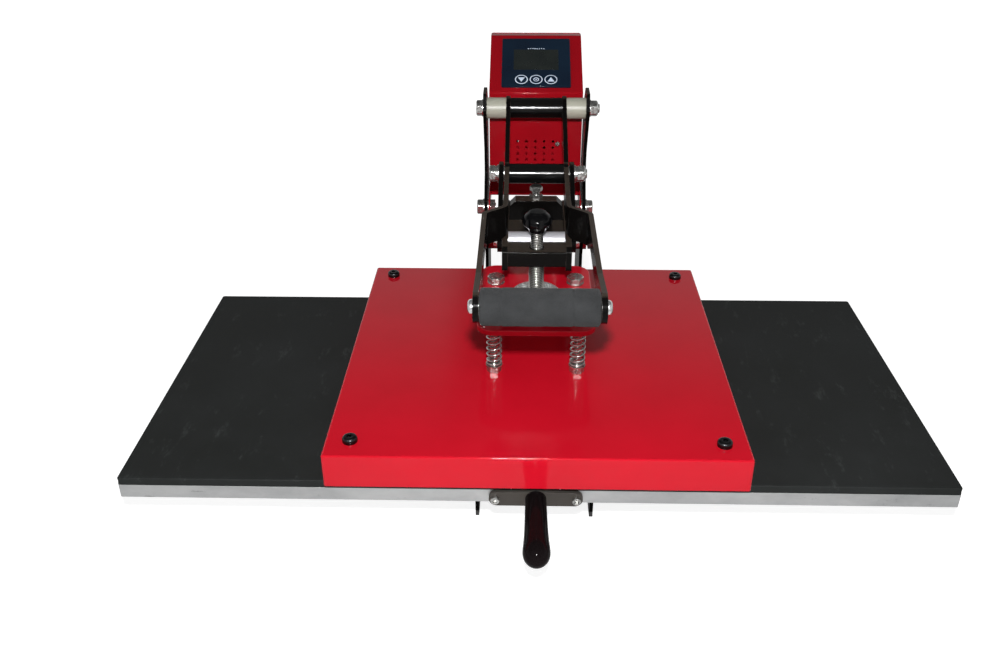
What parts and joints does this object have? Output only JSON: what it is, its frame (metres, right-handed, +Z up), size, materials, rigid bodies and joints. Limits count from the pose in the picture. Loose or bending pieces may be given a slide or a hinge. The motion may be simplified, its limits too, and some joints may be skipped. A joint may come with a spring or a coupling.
{
  "type": "dual station heat press",
  "caption": "Clamshell heat press with a lever-closed heated head over a table of two padded platens that slides sideways, and a digital console on top.",
  "frame": {"origin": "on the floor under the middle of the whole machine's box", "axes": "+Z up, -Y towards the operator, +X to the operator's right along the table's slide"},
  "size_m": [0.807, 0.6316, 0.399],
  "materials": {
    "black_paint": "gloss black powder coat",
    "red_paint": "gloss red powder coat",
    "platen_aluminium": "milled",
    "mat_rubber": "matt silicone foam",
    "foot_rubber": "matt",
    "grip_foam": "matt foam",
    "zinc_steel": "zinc plated",
    "bright_steel": "polished",
    "black_oxide": "black oxide",
    "bronze": "plain bearing bronze",
    "nylon": "cream nylon",
    "black_plastic": "moulded",
    "bakelite": "polished, dark maroon",
    "display_black": "smooth glass front",
    "lcd_grey": "dark",
    "board_green": "circuit board",
    "insulation": "ceramic fibre board"
  },
  "bodies": {
    "root": {"left_frame_plate": "black_paint", "right_frame_plate": "black_paint", "base_plate": "black_paint", "cross_feet": "black_paint", "rubber_feet": "foot_rubber", "hinge_tube": "red_paint", "bearing_blocks": "platen_aluminium", "linear_bearings": "bright_steel", "top_axle": "zinc_steel", "top_axle_nut": "zinc_steel", "nylon_spacers": "nylon", "console_housing": "red_paint", "console_back": "red_paint", "display_glass": "display_black", "lcd_module": "lcd_grey", "control_board": "board_green", "power_relay": "black_plastic", "mains_inlet": "black_plastic", "console_screws": "zinc_steel", "console_bolts": "zinc_steel"},
    "rocker": {"power_rocker": "black_plastic"},
    "table": {"left_platen": "platen_aluminium", "right_platen": "platen_aluminium", "press_mats": "mat_rubber", "carriage_bars": "black_paint", "guide_shafts": "bright_steel", "shaft_supports": "platen_aluminium", "front_bracket": "black_paint", "bracket_screws": "zinc_steel", "front_handle": "bakelite"},
    "handle": {"left_handle_plate": "black_paint", "right_handle_plate": "black_paint", "top_sleeve": "black_paint", "mid_sleeve": "black_paint", "mid_axle": "zinc_steel", "mid_axle_nut": "zinc_steel", "grip_rod": "zinc_steel", "foam_grip": "grip_foam", "grip_screws": "bright_steel"},
    "links": {"left_link": "black_paint", "right_link": "black_paint", "link_screws": "bright_steel"},
    "press_arm": {"left_arm_plate": "black_paint", "right_arm_plate": "black_paint", "hinge_bushes": "bronze", "nut_block": "black_paint", "arm_pivot_tube": "black_paint", "arm_web": "black_paint", "stop_bolt": "zinc_steel"},
    "pressure_head": {"pressure_plate": "red_paint", "thrust_flange": "zinc_steel", "head_springs": "bright_steel"},
    "screw": {"pressure_screw": "zinc_steel", "pressure_knob": "black_plastic"},
    "heated_head": {"heat_cover": "red_paint", "heat_platen": "platen_aluminium", "insulation_board": "insulation", "cover_screws": "black_oxide", "spring_bolts": "zinc_steel", "spring_nuts": "zinc_steel"}
  },
  "joints": [
    {"name": "handle_swing", "type": "hinge", "parent": "root", "child": "handle", "pos_m": [0, 0.17325, 0.342], "axis": [-1, 0, 0], "range_deg": [0, 85]},
    {"name": "link_swing", "type": "hinge", "parent": "handle", "child": "links", "pos_m": [0, 0.07825, 0.296], "axis": [-1, 0, 0], "range_deg": [-121, 0]},
    {"name": "arm_lift", "type": "hinge", "parent": "root", "child": "press_arm", "pos_m": [0, 0.19525, 0.163], "axis": [-1, 0, 0], "range_deg": [0, 32.4]},
    {"name": "head_height", "type": "slide", "parent": "press_arm", "child": "pressure_head", "axis": [0, 0, 1], "range_m": [0, 0.01]},
    {"name": "pressure_turn", "type": "hinge", "parent": "pressure_head", "child": "screw", "pos_m": [0, -0.03675, 0.275], "axis": [0, 0, 1], "range_deg": [0, 1801]},
    {"name": "head_float", "type": "slide", "parent": "pressure_head", "child": "heated_head", "axis": [0, 0, 1], "range_m": [0, 0.006], "stiffness_N_per_m": 27600, "springref_m": -0.004, "deforming": ["head_springs"]},
    {"name": "table_slide", "type": "slide", "parent": "root", "child": "table", "axis": [1, 0, 0], "range_m": [-0.2135, 0.2135]},
    {"name": "rocker_tilt", "type": "hinge", "parent": "root", "child": "rocker", "pos_m": [-0.028, 0.30625, 0.262], "axis": [1, 0, 0], "range_deg": [0, 16]}
  ],
  "couplings": [
    {"joint": "link_swing", "follows": "handle_swing", "ratio": -1.4056},
    {"joint": "arm_lift", "follows": "handle_swing", "ratio": 0.37912},
    {"joint": "pressure_turn", "follows": "head_height", "rad_per_m": 3141.6}
  ]
}
